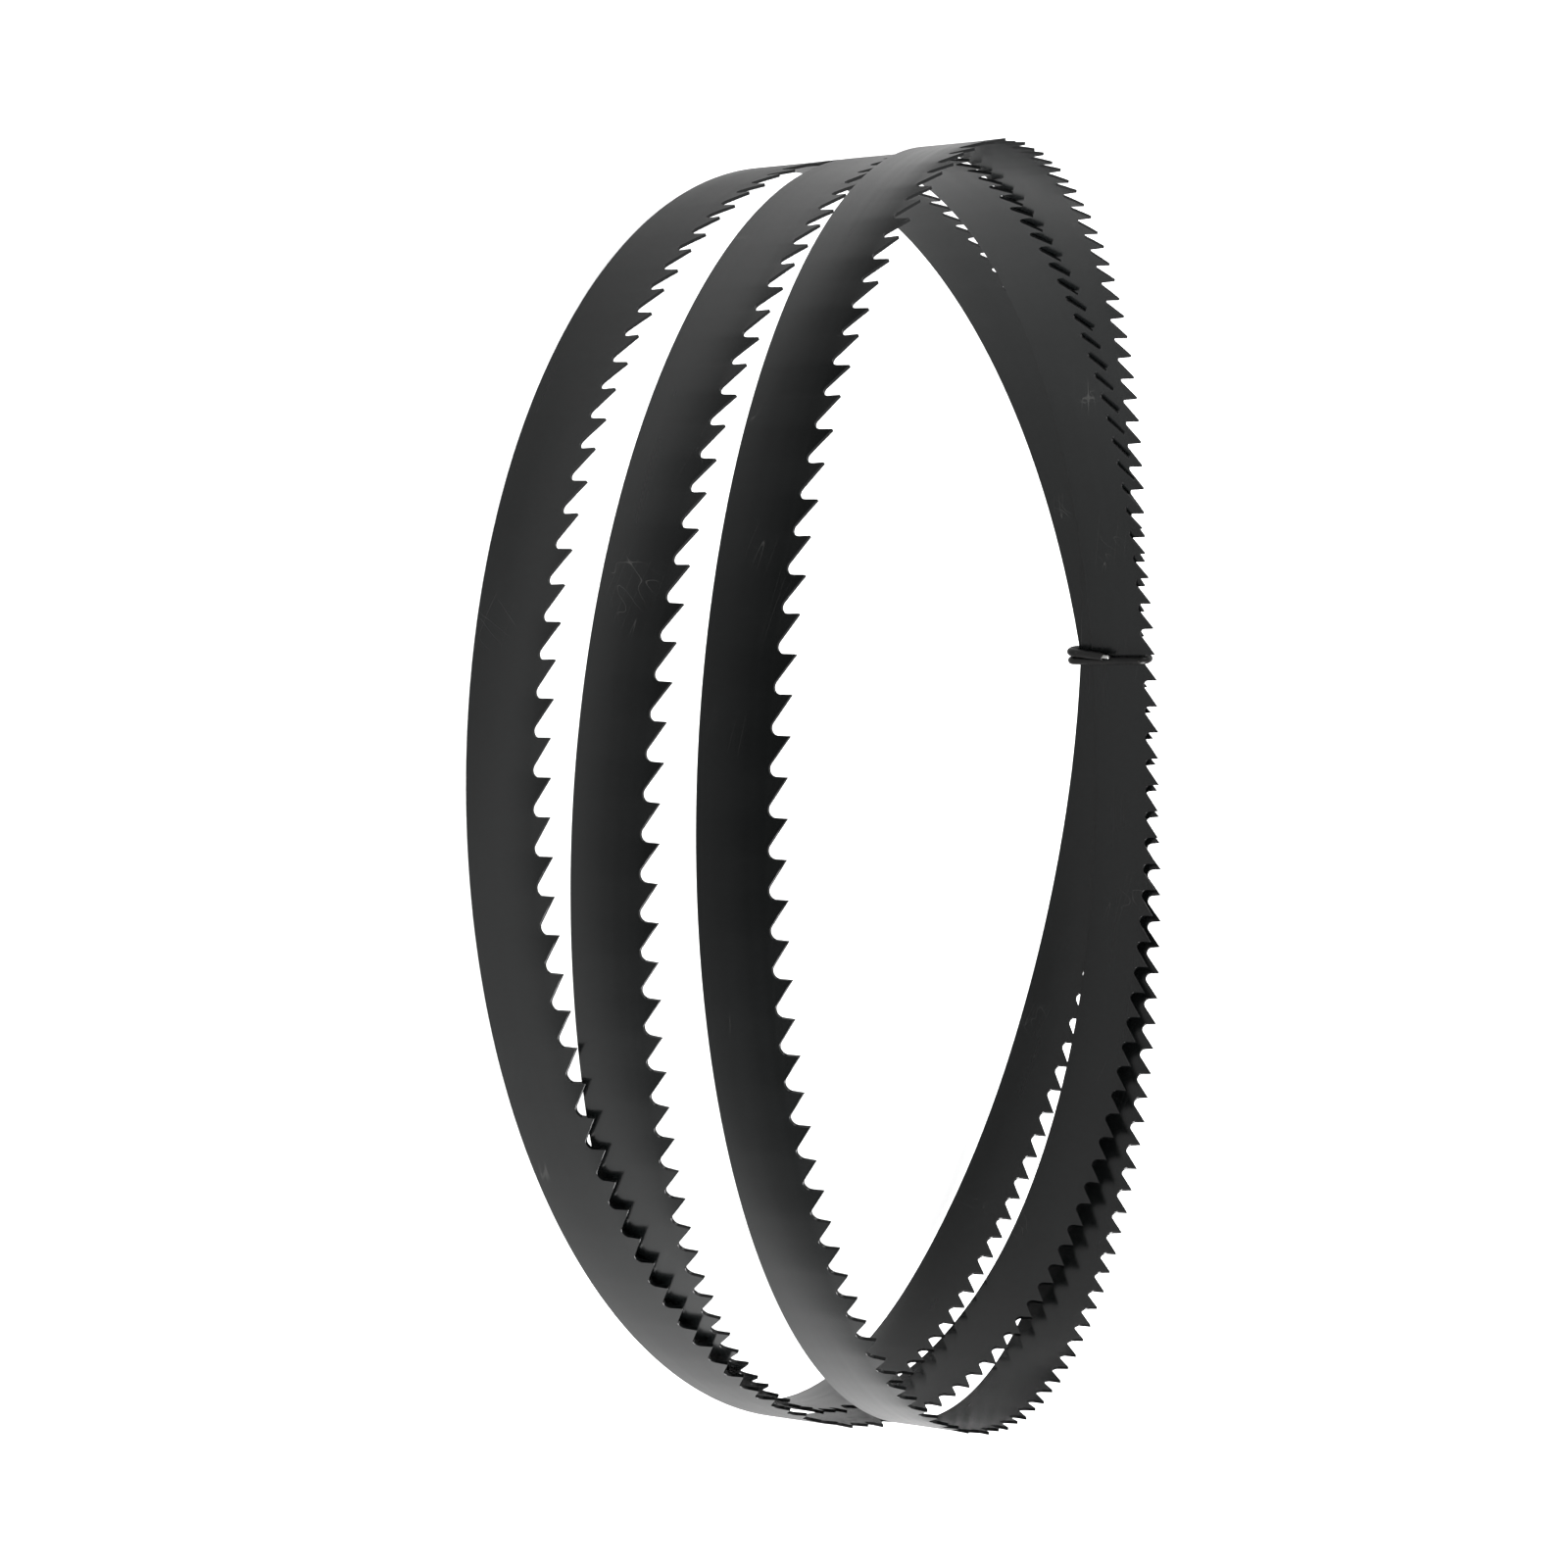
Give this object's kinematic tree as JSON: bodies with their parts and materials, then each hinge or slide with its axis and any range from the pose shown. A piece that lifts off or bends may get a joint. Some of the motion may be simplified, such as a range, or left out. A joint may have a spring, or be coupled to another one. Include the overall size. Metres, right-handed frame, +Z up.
{
  "type": "band saw blade",
  "caption": "Endless steel band with teeth along one edge, coiled into three turns and held by a wire tie, for storing or fitting to a band saw.",
  "frame": {"origin": "bottom centre of the coil's bounding box, on the surface it lies on", "axes": "+Z up, along the coil's axis, with the teeth up; +X towards the wire tie; +Y square to both"},
  "size_m": [0.2576, 0.2507, 0.0605],
  "materials": {
    "blued_steel": "dark blued steel, satin",
    "coated_wire": "black plastic-coated wire, satin"
  },
  "bodies": {
    "root": {"blade": "blued_steel", "wire_tie": "coated_wire"}
  },
  "joints": []
}
